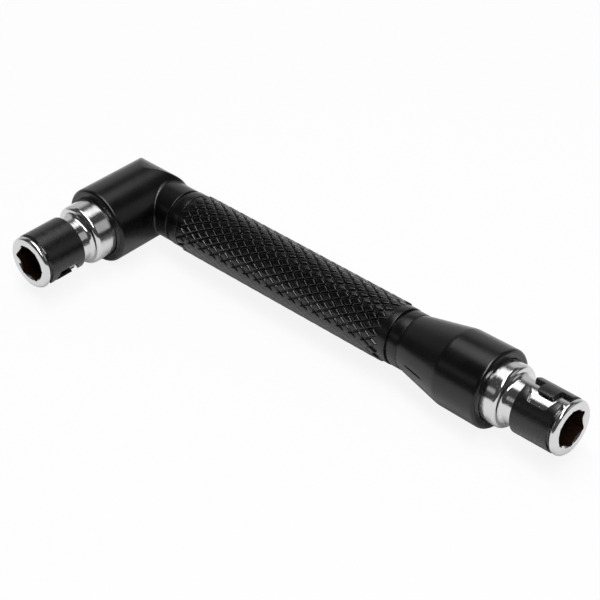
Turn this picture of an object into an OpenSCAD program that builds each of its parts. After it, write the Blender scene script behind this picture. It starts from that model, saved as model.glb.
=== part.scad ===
/* [Handle body] */
// Handle axis to the flat face of the angled boss
angle_reach = 13.5; // [11.5:0.1:24]
// Handle axis to the back of the elbow
elbow_back = 5.3; // [5:0.1:7]
// Rounding of the elbow's back edge
elbow_round = 2.2; // [0.8:0.1:2.6]
// Wall of both bosses round the socket shanks, at their flat faces
boss_wall = 1.6; // [1.3:0.1:3.5]
// How much each boss narrows away from its face, for mould release
boss_draft = 0.12; // [0.05:0.01:0.3]
// Rounding of the edge of both boss faces
face_round = 0.65; // [0.2:0.05:1]
// Radius of the smooth neck beside the elbow
neck_r = 5.3; // [5.1:0.1:6]
// Length of neck that shows beside the angled boss
neck_show = 2.95; // [1.5:0.05:10]
// Depth of the relief grooves at both ends of the grip
relief_depth = 0.3; // [0.05:0.05:0.4]
// Width of the relief groove on the elbow side
elbow_relief = 0.6; // [0.4:0.05:4]
// Width of the relief groove on the bell side
bell_relief = 0.55; // [0.4:0.05:5]
// Length of the collar between that groove and the cone
collar_len = 2.05; // [1:0.05:5]
// Height of the collar above the narrow end of the cone
collar_step = 0.1; // [0.05:0.01:0.2]
// Length of the cone that widens to the bell
flare_len = 10; // [7:0.1:20]
// Length of the nearly straight bell, up to its face
bell_len = 9.1; // [6:0.1:20]
// Radius of the blend at the narrow end of the cone
flare_blend = 6; // [2:0.5:8]
// Radius of the blend at the wide end of the cone
bell_blend = 5; // [2:0.5:8]

/* [Knurled grip] */
// Length of the grip with its two plain bands
grip_len = 54.35; // [20:0.05:90]
// Radius of the handle core inside the grip
core_r = 4.6; // [3.6:0.1:4.8]
// Thickness of the grip under the grooves between its pads
grip_wall = 0.7; // [0.4:0.05:1.2]
// Depth of the grooves between the pads
knurl_depth = 0.35; // [0.15:0.05:0.6]
// Height of the plain end bands above the grooves
band_step = 0.1; // [0.05:0.01:0.15]
// Width of the plain band on the elbow side
elbow_band_w = 2.15; // [0.5:0.05:4]
// Width of the plain band on the bell side
bell_band_w = 1.5; // [0.5:0.05:3]
// Pads around the grip
pads_around = 19; // [9:1:24]
// Length of one pad along the handle, rounded so that whole rows fit
pad_len = 2.85; // [2.4:0.05:6]
// Share of a pad that is its flat top
pad_top = 0.62; // [0.3:0.02:0.85]
// Depth of the faint grooves on the two smooth strips below the grip's mid-plane
strip_depth = 0.08; // [0.04:0.01:0.15]
// Turn, up from the underside, at which those strips start
strip_turn = 45; // [20:1:80]

/* [Bit sockets] */
// Width across flats of the hex bore
hex_af = 6.4; // [5:0.05:8]
// Depth of the hex bore
hex_depth = 11; // [9:0.1:14]
// Width of the cone-shaped lead-in at the mouth
lead_in = 0.32; // [0.1:0.02:0.45]
// Wall between a flat of the hex and the seat of the spring sleeve
socket_wall = 1.25; // [1.15:0.01:1.6]
// Height of the front lip above the seat
lip_step = 0.63; // [0.4:0.01:0.8]
// Length of the front lip
lip_len = 0.8; // [0.5:0.1:1.2]
// Rounding of the lip's outer edge
lip_round = 0.35; // [0.1:0.05:0.4]
// Height of the shank and its visible bead above the seat
bead_step = 1.35; // [0.8:0.05:1.5]
// Tip to the front edge of the bead
bead_at = 12.4; // [11.8:0.1:13]
// Length of the concave waist in front of the bead
waist_len = 1.5; // [1.1:0.1:2]
// Length of one socket from tip to tail
socket_len = 25; // [23:0.1:26]
// Tip to boss face, straight socket
straight_stand = 14.9; // [13.5:0.1:16]
// Tip to boss face, angled socket
angle_stand = 16.2; // [13.5:0.1:16.5]
// Depth of the flats that stop the tail from turning in the boss
tail_flat_depth = 0.6; // [0.3:0.05:1]
// Length of those flats
tail_flat_len = 4; // [2:0.1:5]
// Turn of the straight hex about its axis
straight_hex_turn = 0; // [-30:1:30]
// Turn of the angled hex about its axis
angle_hex_turn = -5; // [-30:1:30]

/* [Spring sleeves] */
// Thickness of the sleeve's strip
sleeve_t = 0.63; // [0.5:0.01:0.8]
// Length of a spring sleeve
sleeve_len = 7.7; // [6:0.1:8]
// Gap between the sleeve and the lip
sleeve_gap = 0.6; // [0.3:0.05:0.8]
// Running clearance between the sleeve and its seat
seat_clear = 0.05; // [0.02:0.01:0.1]
// Bevel of the sleeve's end edges
sleeve_bevel = 0.12; // [0.05:0.01:0.2]
// Width of the open seam
seam_gap = 2.4; // [1.5:0.1:2.6]
// Sideways step between the seam's end slots and its middle slot
seam_step = 2.5; // [1.5:0.1:3]
// Length of the tongue in the middle of the seam
tongue_len = 3.4; // [2:0.1:4]
// Mean gap at each side of the tongue
tongue_gap = 0.6; // [0.5:0.05:0.8]
// Slant of the notch's sides, half the difference between mouth and bottom
notch_slant = 0.45; // [0:0.05:0.45]
// Rounding of the tongue's corners
tongue_round = 0.6; // [0.2:0.05:0.9]
// Turn of the straight sleeve's seam
straight_seam_turn = 190; // [0:1:360]
// Turn of the angled sleeve's seam
angle_seam_turn = 317; // [0:1:360]

/* [Detent balls] */
// Radius of a detent ball
ball_r = 0.75; // [0.7:0.01:0.78]
// How far a ball stands into the hex bore
ball_rise = 0.25; // [0.15:0.01:0.28]
// Tip to the centre of a ball
ball_at = 5.25; // [4:0.05:6.5]
// Clearance round a ball
ball_clear = 0.03; // [0.02:0.005:0.05]
// Wall left under a ball, which keeps it out of the bore
ball_ledge = 0.05; // [0.03:0.01:0.1]
// Flat of the straight hex that its ball comes through
straight_ball_flat = 0; // [0:1:5]
// Flat of the angled hex that its ball comes through
angle_ball_flat = 2; // [0:1:5]

/* [Hidden] */

$fn = 96;
// Overshoot of cutting shapes
cut = 1;
// Points on a blend or rounding that is drawn as a polygon
arc_steps = 6;

black = [0.03, 0.03, 0.032];
grip_black = [0.05, 0.05, 0.053];
spring_black = [0.07, 0.07, 0.075];
chrome = [0.82, 0.82, 0.84];
ball_steel = [0.66, 0.67, 0.7];

// Radii of a socket and its sleeve, outward from the hex
hex_sides = 6;
hex_r = hex_af / 2 / cos(180 / hex_sides);
seat_r = hex_af / 2 + socket_wall;
lip_r = seat_r + lip_step;
shank_r = seat_r + bead_step;
sleeve_bore_r = seat_r + seat_clear;
sleeve_r = sleeve_bore_r + sleeve_t;
boss_r = shank_r + boss_wall;

// Places along a socket, back from its tip
sleeve_front = lip_len + sleeve_gap;
sleeve_back = sleeve_front + sleeve_len;
waist_r = (pow(waist_len, 2) + pow(bead_step, 2)) / (2 * bead_step);
// Straight pilot under the hex, and the drill's cone below it
pilot_inset = 0.2;
pilot_r = hex_af / 2 - pilot_inset;
pilot_len = 1;
drill_angle = 59;
drill_len = pilot_r / tan(drill_angle);
// Ring groove that locks the tail in the boss, just ahead of the flats
lock_groove_w = 1.4;
lock_groove_depth = 0.6;

// A ball's centre when it stands into the bore, and when a bit pushes it flush
ball_in = hex_af / 2 - ball_rise + ball_r;
ball_out = ball_in + ball_rise;
ledge_r = hex_af / 2 + ball_ledge;
ledge_hole_r = sqrt(pow(ball_r, 2) - pow(ball_in - ledge_r, 2)) + ball_clear;
ball_hole_r = ball_r + ball_clear;
// Ring groove inside the sleeve that gives the ball its room
ball_track_r = ball_out + ball_r + ball_clear;
ball_track_side = 4 * ball_clear;
ball_track_w = 2 * (sqrt(pow(ball_r, 2) - pow(sleeve_bore_r - ball_out, 2)) + ball_track_side);

// Places along the handle, from the angled boss axis
relief_r = neck_r - relief_depth;
cone_r = neck_r - collar_step;
neck_len = boss_r + neck_show;
grip_start = neck_len + elbow_relief;
grip_end = grip_start + grip_len;
collar_start = grip_end + bell_relief;
flare_start = collar_start + collar_len;
flare_end = flare_start + flare_len;
bell_face = flare_end + bell_len;
bell_neck_r = boss_r - boss_draft;
flare_angle = atan((bell_neck_r - cone_r) / flare_len);

// Rows and columns of the knurl, half a pad apart
knurl_root = core_r + grip_wall;
knurl_r = knurl_root + knurl_depth;
band_r = knurl_root + band_step;
knurl_start = grip_start + elbow_band_w;
knurl_len = grip_len - elbow_band_w - bell_band_w;
knurl_rows = floor(2 * knurl_len / pad_len);
knurl_step = knurl_len / knurl_rows;
knurl_cols = 2 * pads_around;
col_angle = 360 / knurl_cols;

straight_tip = bell_face + straight_stand;
angle_tip = angle_reach + angle_stand;

// The part lies on its bosses, with the middle of its box over the origin
mid_x = (straight_tip - boss_r) / 2;
mid_y = (boss_r - angle_tip) / 2;

// Points of an arc about c, from angle a0 to a1
function arc(c, r, a0, a1, n = arc_steps) = [
    for (i = [0 : n])
        let (a = a0 + (a1 - a0) * i / n)
        c + r * [cos(a), sin(a)]
];

// What rounding takes off the outer corner at [r, s], towards +s or -s
module corner_off(r, s, f, side = 1) {
    difference() {
        translate([r - f, side > 0 ? s - f : s - cut])
            square([f + cut, f + cut]);
        translate([r - f, s - side * f])
            circle(f);
    }
}

module placed() {
    translate([-mid_x, -mid_y, boss_r])
        children();
}

module along_handle() {
    rotate([0, 90, 0])
        children();
}

module along_arm() {
    rotate([90, 0, 0])
        children();
}

module at_straight_tip() {
    translate([straight_tip, 0, 0])
        along_handle()
            children();
}

module at_angle_tip() {
    translate([0, -angle_tip, 0])
        along_arm()
            children();
}

// Handle body: elbow, neck, core, cone and bell in one moulding

module shaft_profile() {
    narrow = flare_blend * tan(flare_angle / 2);
    wide = bell_blend * tan(flare_angle / 2);
    difference() {
        union() {
            polygon(concat(
                [
                    [0, 0],
                    [neck_r, 0],
                    [neck_r, neck_len],
                    [relief_r, neck_len],
                    [relief_r, grip_start],
                    [core_r, grip_start],
                    [core_r, grip_end],
                    [relief_r, grip_end],
                    [relief_r, collar_start],
                    [cone_r, collar_start]
                ],
                arc([cone_r + flare_blend, flare_start - narrow], flare_blend, 180, 180 - flare_angle),
                arc([bell_neck_r - bell_blend, flare_end + wide], bell_blend, -flare_angle, 0),
                [
                    [boss_r, bell_face - face_round],
                    [boss_r, bell_face],
                    [0, bell_face]
                ]
            ));
            translate([0, collar_start])
                square([neck_r, collar_len]);
        }
        corner_off(boss_r, bell_face, face_round);
    }
}

module arm_profile() {
    difference() {
        polygon([
            [0, -elbow_back],
            [boss_r - boss_draft, -elbow_back],
            [boss_r, angle_reach - face_round],
            [boss_r, angle_reach],
            [0, angle_reach]
        ]);
        corner_off(boss_r, angle_reach, face_round);
        corner_off(boss_r - boss_draft, -elbow_back, elbow_round, -1);
    }
}

// The back of the elbow is a full round across the arm
module elbow_crown() {
    rotate([90, 0, 90])
        translate([0, 0, -boss_r - cut])
            linear_extrude(2 * (boss_r + cut)) {
                translate([elbow_back - boss_r, 0])
                    circle(boss_r);
                translate([-angle_reach - cut, -boss_r - cut])
                    square([angle_reach + cut + elbow_back - boss_r, 2 * (boss_r + cut)]);
            }
}

module handle_body() {
    color(black)
        placed()
            difference() {
                union() {
                    along_handle()
                        rotate_extrude()
                            shaft_profile();
                    intersection() {
                        along_arm()
                            rotate_extrude()
                                arm_profile();
                        elbow_crown();
                    }
                }
                at_straight_tip()
                    socket_blank();
                at_angle_tip()
                    socket_blank();
            }
}

// Knurled grip: rings of raised diamond pads between two plain bands.
// A pad sits on every second crossing of the grid's rows and columns, column 0 at the underside.
// Each side has a smooth strip from strip_turn up to the mid-plane, where the grooves are faint.

function on_grip(r, row, col) = [
    r * cos(col * col_angle),
    r * sin(col * col_angle),
    knurl_start + row * knurl_step
];
function root_r(col) =
    let (turn = min(col, knurl_cols - col) * col_angle)
    turn > strip_turn && turn < 90 ? knurl_r - strip_depth : knurl_root;
function root_point(row, col) = row * knurl_cols + (col + knurl_cols) % knurl_cols;
function pad_corner(side) = [[-1, 0], [0, 1], [1, 0], [0, -1]][side % 4];

pad_cells = [
    for (row = [1 : knurl_rows - 1])
        for (col = [row % 2 : 2 : knurl_cols - 1])
            [row, col]
];
root_points = [
    for (row = [0 : knurl_rows])
        for (col = [0 : knurl_cols - 1])
            on_grip(root_r(col), row, col)
];
top_points = [
    for (cell = pad_cells)
        for (side = [0 : 3])
            let (at = cell + pad_top * pad_corner(side))
            on_grip(knurl_r, at[0], at[1])
];

function pad_foot(cell, side) =
    let (at = cell + pad_corner(side))
    root_point(at[0], at[1]);

function pad_faces(i) =
    let (
        first = len(root_points) + 4 * i,
        foot = [for (side = [0 : 3]) pad_foot(pad_cells[i], side)]
    )
    concat(
        [
            [first, first + 2, first + 1],
            [first, first + 3, first + 2]
        ],
        [for (side = [0 : 3]) [foot[side], first + side, foot[(side + 1) % 4]]],
        [for (side = [0 : 3]) [foot[(side + 1) % 4], first + side, first + (side + 1) % 4]]
    );

// Half cells along the first and last rows, which stay at the groove's depth
first_row_faces = [
    for (col = [0 : 2 : knurl_cols - 1])
        for (step = [-1, 0])
            [
                root_point(0, col + step),
                root_point(1, col),
                root_point(0, col + step + 1)
            ]
];
last_row_faces = [
    for (col = [knurl_rows % 2 : 2 : knurl_cols - 1])
        for (step = [-1, 0])
            [
                root_point(knurl_rows, col + step),
                root_point(knurl_rows, col + step + 1),
                root_point(knurl_rows - 1, col)
            ]
];

module knurl() {
    polyhedron(
        points = concat(root_points, top_points),
        faces = concat(
            [[for (col = [0 : knurl_cols - 1]) col]],
            [[for (col = [knurl_cols - 1 : -1 : 0]) root_point(knurl_rows, col)]],
            first_row_faces,
            last_row_faces,
            [for (i = [0 : len(pad_cells) - 1]) each pad_faces(i)]
        )
    );
}

module knurled_grip() {
    color(grip_black)
        placed()
            along_handle()
                difference() {
                    union() {
                        knurl();
                        translate([0, 0, grip_start])
                            cylinder(h = elbow_band_w, r = band_r);
                        translate([0, 0, grip_end - bell_band_w])
                            cylinder(h = bell_band_w, r = band_r);
                    }
                    translate([0, 0, grip_start - cut])
                        cylinder(h = grip_len + 2 * cut, r = core_r);
                }
}

// Bit sockets: drawn with the tip at the origin, pointing along +Z

module socket_profile() {
    waist_at = waist_len - bead_at;
    groove_at = tail_flat_len - socket_len;
    difference() {
        polygon([
            [0, -socket_len],
            [shank_r, -socket_len],
            [shank_r, groove_at],
            [shank_r - lock_groove_depth, groove_at],
            [shank_r - lock_groove_depth, groove_at + lock_groove_w],
            [shank_r, groove_at + lock_groove_w],
            [shank_r, waist_at],
            [seat_r, waist_at],
            [seat_r, -lip_len],
            [lip_r, -lip_len],
            [lip_r, 0],
            [0, 0]
        ]);
        translate([seat_r + waist_r, waist_at])
            circle(waist_r);
        corner_off(lip_r, 0, lip_round);
    }
}

// The socket before its bore and ball hole are cut; the bosses are moulded round it
module socket_blank() {
    difference() {
        rotate_extrude()
            socket_profile();
        for (side = [0, 180])
            rotate(side)
                translate([shank_r - tail_flat_depth, -shank_r - cut, -socket_len - cut])
                    cube([shank_r, 2 * (shank_r + cut), tail_flat_len + cut]);
    }
}

module hex_bore(turn) {
    rotate(turn)
        translate([0, 0, -hex_depth])
            cylinder(h = hex_depth + cut, r = hex_r, $fn = hex_sides);
    translate([0, 0, -lead_in - pilot_inset])
        cylinder(h = lead_in + pilot_inset + cut, r1 = pilot_r, r2 = hex_af / 2 + lead_in + cut);
    translate([0, 0, -hex_depth - pilot_len])
        cylinder(h = pilot_len + cut, r = pilot_r);
    translate([0, 0, -hex_depth - pilot_len - drill_len])
        cylinder(h = drill_len, r1 = 0, r2 = pilot_r);
}

module ball_hole(turn) {
    translate([0, 0, -ball_at])
        rotate([0, 90, turn]) {
            cylinder(h = seat_r, r = ledge_hole_r);
            translate([0, 0, ledge_r])
                cylinder(h = seat_r, r = ball_hole_r);
        }
}

function flat_turn(hex_turn, flat) = hex_turn + (flat + 0.5) * 360 / hex_sides;

module bit_socket(hex_turn, ball_flat) {
    color(chrome)
        difference() {
            socket_blank();
            hex_bore(hex_turn);
            ball_hole(flat_turn(hex_turn, ball_flat));
        }
}

// Spring sleeves: rolled strip whose ends meet in a tongue and a notch

module seam_outline() {
    tongue_back = (sleeve_len - tongue_len) / 2;
    tongue_front = tongue_back + tongue_len;
    far_end = -(seam_step + seam_gap) / 2;
    far_mid = (seam_step - seam_gap) / 2;
    near_end = -far_mid;
    near_mid = -far_end;
    mouth_gap = tongue_gap + notch_slant;
    bottom_gap = tongue_gap - notch_slant;
    polygon(concat(
        [
            [far_end, -cut],
            [far_end, tongue_back]
        ],
        arc([far_mid - tongue_round, tongue_back + tongue_round], tongue_round, -90, 0),
        arc([far_mid - tongue_round, tongue_front - tongue_round], tongue_round, 0, 90),
        [
            [far_end, tongue_front],
            [far_end, sleeve_len + cut],
            [near_end, sleeve_len + cut],
            [near_end, tongue_front + mouth_gap],
            [near_mid, tongue_front + bottom_gap],
            [near_mid, tongue_back - bottom_gap],
            [near_end, tongue_back - mouth_gap],
            [near_end, -cut]
        ]
    ));
}

module sleeve_profile() {
    inner = sleeve_bore_r + sleeve_bevel;
    outer = sleeve_r - sleeve_bevel;
    difference() {
        polygon([
            [sleeve_bore_r, sleeve_bevel - sleeve_back],
            [inner, -sleeve_back],
            [outer, -sleeve_back],
            [sleeve_r, sleeve_bevel - sleeve_back],
            [sleeve_r, -sleeve_front - sleeve_bevel],
            [outer, -sleeve_front],
            [inner, -sleeve_front],
            [sleeve_bore_r, -sleeve_front - sleeve_bevel]
        ]);
        translate([0, -ball_at - ball_track_w / 2])
            square([ball_track_r, ball_track_w]);
    }
}

module spring_sleeve(turn) {
    color(spring_black)
        difference() {
            rotate_extrude()
                sleeve_profile();
            rotate(turn)
                translate([0, 0, -sleeve_back])
                    rotate([90, 0, 90])
                        linear_extrude(sleeve_r + cut)
                            seam_outline();
        }
}

module detent_ball(turn) {
    color(ball_steel)
        rotate(turn)
            translate([ball_in, 0, -ball_at])
                sphere(ball_r);
}

module straight_socket() {
    placed()
        at_straight_tip()
            bit_socket(straight_hex_turn, straight_ball_flat);
}

module straight_spring_sleeve() {
    placed()
        at_straight_tip()
            spring_sleeve(straight_seam_turn);
}

module straight_detent_ball() {
    placed()
        at_straight_tip()
            detent_ball(flat_turn(straight_hex_turn, straight_ball_flat));
}

module angle_socket() {
    placed()
        at_angle_tip()
            bit_socket(angle_hex_turn, angle_ball_flat);
}

module angle_spring_sleeve() {
    placed()
        at_angle_tip()
            spring_sleeve(angle_seam_turn);
}

module angle_detent_ball() {
    placed()
        at_angle_tip()
            detent_ball(flat_turn(angle_hex_turn, angle_ball_flat));
}

handle_body();
knurled_grip();
straight_socket();
straight_spring_sleeve();
straight_detent_ball();
angle_socket();
angle_spring_sleeve();
angle_detent_ball();
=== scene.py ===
"""Offset screwdriver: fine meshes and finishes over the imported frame, and the studio round them."""

import math

import bmesh
import bpy
import numpy as np
from bpy.props import FloatProperty, FloatVectorProperty, IntProperty, PointerProperty
from bpy.types import Operator, Panel, PropertyGroup
from mathutils import Matrix, Vector


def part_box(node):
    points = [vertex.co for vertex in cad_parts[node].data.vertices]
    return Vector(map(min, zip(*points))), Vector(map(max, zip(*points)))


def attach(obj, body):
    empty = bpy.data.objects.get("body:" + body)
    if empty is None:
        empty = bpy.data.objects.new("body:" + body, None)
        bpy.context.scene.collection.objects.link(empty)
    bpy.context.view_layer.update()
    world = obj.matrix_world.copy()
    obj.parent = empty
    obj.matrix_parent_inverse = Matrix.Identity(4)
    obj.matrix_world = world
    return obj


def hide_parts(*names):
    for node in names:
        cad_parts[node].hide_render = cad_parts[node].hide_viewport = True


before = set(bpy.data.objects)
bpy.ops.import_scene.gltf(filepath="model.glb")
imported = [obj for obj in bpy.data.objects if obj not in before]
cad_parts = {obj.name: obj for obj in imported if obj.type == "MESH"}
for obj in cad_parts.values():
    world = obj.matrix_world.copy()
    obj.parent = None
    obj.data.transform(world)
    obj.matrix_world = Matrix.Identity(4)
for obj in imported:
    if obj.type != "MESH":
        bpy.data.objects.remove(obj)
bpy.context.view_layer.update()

bl_info = {
    "name": "Offset Screwdriver",
    "version": (1, 0, 0),
    "blender": (4, 5, 0),
    "location": "3D View > Sidebar > Driver",
    "description": "Builds the dressed pieces of an offset screwdriver and its studio",
    "category": "Object",
}

# Meshes are drawn in millimetres and made in metres
MM = 0.001

# Depth of the holes in the bosses that show round the socket shanks, in millimetres
HOLE_DEPTH = 5


def span(node):
    """Lowest and highest corner of a CAD node, in millimetres."""
    return [np.array(corner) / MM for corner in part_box(node)]


HANDLE_LOW, HANDLE_HIGH = span("handle_body")
GRIP_LOW, GRIP_HIGH = span("knurled_grip")
STRAIGHT_LOW, STRAIGHT_HIGH = span("straight_socket")
ANGLE_LOW, ANGLE_HIGH = span("angle_socket")

# The handle's axis and the arm's axis cross at the elbow; places along them are counted from there
ELBOW = np.array([
    (ANGLE_LOW[0] + ANGLE_HIGH[0]) / 2,
    (STRAIGHT_LOW[1] + STRAIGHT_HIGH[1]) / 2,
    (STRAIGHT_LOW[2] + STRAIGHT_HIGH[2]) / 2,
])
STRAIGHT_TIP = STRAIGHT_HIGH[0] - ELBOW[0]
ANGLE_TIP = ELBOW[1] - ANGLE_LOW[1]
BELL_FACE = HANDLE_HIGH[0] - ELBOW[0]
ARM_FACE = ELBOW[1] - HANDLE_LOW[1]
BOSS_RADIUS = (HANDLE_HIGH[2] - HANDLE_LOW[2]) / 2
GRIP_START = GRIP_LOW[0] - ELBOW[0]
GRIP_END = GRIP_HIGH[0] - ELBOW[0]


# Settings

def length(name, description, millimetres):
    """Setting for a length, given in millimetres."""
    return FloatProperty(name=name, description=description, unit="LENGTH", default=millimetres * MM)


class HandleSettings(PropertyGroup):
    """The black moulding: elbow, neck, cone and bell."""

    colour: FloatVectorProperty(
        name="Colour", description="Colour of the moulding", subtype="COLOR",
        min=0, max=1, default=(0.0016, 0.0016, 0.0018))
    roughness: FloatProperty(
        name="Roughness", description="Mean roughness of the moulded skin", subtype="FACTOR",
        min=0, max=1, default=0.25)
    boss_radius: length("Boss radius", "Radius of both bosses at their faces", BOSS_RADIUS)
    boss_draft: length("Boss draft", "How much each boss narrows away from its face", 0.12)
    face_rounding: length("Face rounding", "Rounding of the edge of both boss faces", 0.65)
    elbow_back: length("Elbow back", "Handle axis to the back of the elbow", 5.3)
    elbow_rounding: length("Elbow rounding", "Rounding of the elbow's back edge", 2.2)
    neck_radius: length("Neck radius", "Radius of the smooth neck beside the elbow", 5.3)
    neck_end: length("Neck end", "Arm axis to the end of the neck", 10.35)
    neck_crease: length("Neck crease", "Fillet where the neck leaves the arm", 0.3)
    relief_radius: length("Relief radius", "Radius of the grooves beside the grip", 5)
    relief_width: length("Relief width", "Width of the groove on the bell side of the grip", 0.55)
    cone_radius: length("Cone radius", "Radius at the narrow end of the cone", 5.2)
    cone_start: length(
        "Cone start", "Arm axis to the narrow end of the cone, where the collar ends", 67.9)
    cone_end: length("Cone end", "Arm axis to the wide end of the cone", 77.9)
    hole_radius: length("Hole radius", "Radius of the holes round the socket shanks", 5.82)


class GripSettings(PropertyGroup):
    """The band of raised diamond pads."""

    colour: FloatVectorProperty(
        name="Colour", description="Colour of the grip", subtype="COLOR",
        min=0, max=1, default=(0.0016, 0.0016, 0.0018))
    roughness: FloatProperty(
        name="Roughness", description="Mean roughness of the pads", subtype="FACTOR",
        min=0, max=1, default=0.1)
    pads_around: IntProperty(
        name="Pads around", description="Pads in one ring", min=9, max=24, default=19)
    half_rows: IntProperty(
        name="Half rows", description="Half pads along the knurl", min=9, max=60, default=35)
    elbow_band: length("Elbow band", "Width of the plain band on the elbow side", 2.15)
    bell_band: length("Bell band", "Width of the plain band on the bell side", 1.5)
    band_radius: length("Band radius", "Radius of the plain end bands", 5.4)
    root_radius: length("Root radius", "Radius at the bottom of the grooves", 5.3)
    groove_depth: length("Groove depth", "Depth of the grooves between the pads", 0.35)
    strip_depth: length("Strip depth", "Depth of the faint grooves on the smooth side strips", 0.05)
    strip_turn: FloatProperty(
        name="Strip turn", description="Turn, up from the underside, at which the side strips start",
        subtype="ANGLE", default=math.radians(45))


class SocketSettings(PropertyGroup):
    """The two chromed bit sockets, and their detent balls."""

    colour: FloatVectorProperty(
        name="Colour", description="Colour of the chrome plate", subtype="COLOR",
        min=0, max=1, default=(0.74, 0.74, 0.745))
    bore_colour: FloatVectorProperty(
        name="Bore colour", description="Colour of the bare steel inside the hex", subtype="COLOR",
        min=0, max=1, default=(0.13, 0.068, 0.038))
    ball_colour: FloatVectorProperty(
        name="Ball colour", description="Colour of the detent balls", subtype="COLOR",
        min=0, max=1, default=(0.62, 0.62, 0.64))
    hex_width: length("Hex width", "Width across flats of the hex bore", 6.4)
    hex_depth: length("Hex depth", "Depth of the hex bore", 11)
    lead_in: length("Lead-in", "Width of the cone at the mouth", 0.32)
    seat_radius: length("Seat radius", "Radius of the seat under the sleeve", 4.45)
    lip_radius: length("Lip radius", "Radius of the front lip", 5.08)
    lip_length: length("Lip length", "Length of the front lip", 0.8)
    lip_rounding: length("Lip rounding", "Rounding of the lip's outer edge", 0.6)
    bead_radius: length("Bead radius", "Radius of the bead and the shank", 5.8)
    bead_at: length("Bead place", "Tip to the front edge of the bead", 12.6)
    waist_length: length("Waist length", "Length of the waist ahead of the bead", 1.7)
    bead_rounding: length("Bead rounding", "Rounding of the bead's front edge", 0.85)
    ball_radius: length("Ball radius", "Radius of a detent ball", 0.75)
    ball_at: length("Ball place", "Tip to the centre of a ball", 5.25)
    straight_hex_turn: FloatProperty(
        name="Straight hex turn", description="Turn of the straight hex about its axis",
        subtype="ANGLE", default=0)
    angle_hex_turn: FloatProperty(
        name="Angled hex turn", description="Turn of the angled hex about its axis",
        subtype="ANGLE", default=math.radians(-5))


class SleeveSettings(PropertyGroup):
    """The two spring sleeves of rolled strip."""

    colour: FloatVectorProperty(
        name="Colour", description="Colour of the blackened spring steel", subtype="COLOR",
        min=0, max=1, default=(0.0035, 0.0034, 0.0032))
    roughness: FloatProperty(
        name="Roughness", description="Mean roughness of the blackened strip", subtype="FACTOR",
        min=0, max=1, default=0.28)
    bore_radius: length("Bore radius", "Radius inside a sleeve", 4.5)
    thickness: length("Thickness", "Thickness of the strip", 0.63)
    length: length("Length", "Length of a sleeve", 7.7)
    front: length("Front", "Tip to the front of a sleeve", 1.4)
    seam_gap: length("Seam gap", "Width of the open seam", 2.4)
    seam_step: length("Seam step", "Sideways step between the seam's ends and its middle", 2.5)
    tongue_length: length("Tongue length", "Length of the tongue along the sleeve", 3.4)
    tongue_gap: length("Tongue gap", "Mean gap at each side of the tongue", 0.6)
    notch_slant: length("Notch slant", "Half the difference between the notch's mouth and bottom", 0.45)
    track_radius: length("Track radius", "Radius of the ball's ring groove inside a sleeve", 4.73)
    track_width: length("Track width", "Width of the ball's ring groove", 1.26)
    straight_seam_turn: FloatProperty(
        name="Straight seam turn", description="Turn of the straight sleeve's seam",
        subtype="ANGLE", default=math.radians(190))
    angle_seam_turn: FloatProperty(
        name="Angled seam turn", description="Turn of the angled sleeve's seam",
        subtype="ANGLE", default=math.radians(317))


class StageSettings(PropertyGroup):
    """Camera, lamps and floor."""

    floor_colour: FloatVectorProperty(
        name="Floor colour", description="Colour of the floor", subtype="COLOR",
        min=0, max=1, default=(0.9, 0.9, 0.9))
    floor_glow: FloatProperty(
        name="Floor glow", description="Share of plain white that the camera sees in the floor",
        subtype="FACTOR", min=0, max=1, default=0.88)
    mirrored_glow: FloatProperty(
        name="Mirrored glow", description="Share of plain white that reflections see in the floor",
        subtype="FACTOR", min=0, max=1, default=0.12)
    azimuth: FloatProperty(
        name="Azimuth", description="Turn of the camera about the vertical", subtype="ANGLE",
        default=math.radians(45.21))
    elevation: FloatProperty(
        name="Elevation", description="Height of the camera above the horizon", subtype="ANGLE",
        default=math.radians(36.417))
    roll: FloatProperty(
        name="Roll", description="Turn of the camera about its own line of sight", subtype="ANGLE",
        default=math.radians(-1.742))
    distance: length("Distance", "Camera to the point that it looks at", 364.92)
    aim_x: length("Aim along the handle", "Arm axis to the point that the camera looks at", 44.475)
    aim_y: length("Aim beside the handle", "Handle axis to the point that the camera looks at", -4.43)
    lens: FloatProperty(
        name="Lens", description="Focal length on a 36 mm sensor, in millimetres", default=123.47)
    softbox_radiance: FloatProperty(
        name="Softbox", description="Brightness of the round softbox overhead", min=0, default=1.5)
    strip_radiance: FloatProperty(
        name="Strip light", description="Brightness of the narrow strip light overhead", min=0,
        default=13)
    room: FloatProperty(
        name="Room", description="Brightness of the dim room", min=0, default=0.07)


# Shapes, in millimetres

def handle_place(along):
    """Matrix of a frame on the handle's axis, its Z along the handle."""
    x, y, z = ELBOW
    return Matrix(((0, 0, 1, x + along), (0, 1, 0, y), (-1, 0, 0, z), (0, 0, 0, 1)))


def arm_place(along):
    """Matrix of a frame on the arm's axis, its Z along the arm."""
    x, y, z = ELBOW
    return Matrix(((1, 0, 0, x), (0, 0, -1, y - along), (0, 1, 0, z), (0, 0, 0, 1)))


def rounded(corners, steps=6, loop=False):
    """Points of a profile whose corners are (along, out, rounding)."""
    points = []
    for i, (along, out, radius) in enumerate(corners):
        here = np.array((along, out), float)
        open_end = not loop and i in (0, len(corners) - 1)
        if radius == 0 or open_end:
            points.append(here)
            continue
        before = np.array(corners[i - 1][:2]) - here
        after = np.array(corners[(i + 1) % len(corners)][:2]) - here
        before /= np.linalg.norm(before)
        after /= np.linalg.norm(after)
        half = math.acos(np.clip(before @ after, -1, 1)) / 2
        middle = (before + after) / np.linalg.norm(before + after)
        centre = here + middle * radius / math.sin(half)
        first = here + before * radius / math.tan(half) - centre
        last = here + after * radius / math.tan(half) - centre
        for share in np.linspace(0, 1, steps + 1):
            spoke = first * (1 - share) + last * share
            points.append(centre + spoke * radius / np.linalg.norm(spoke))
    return np.array(points)


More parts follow.
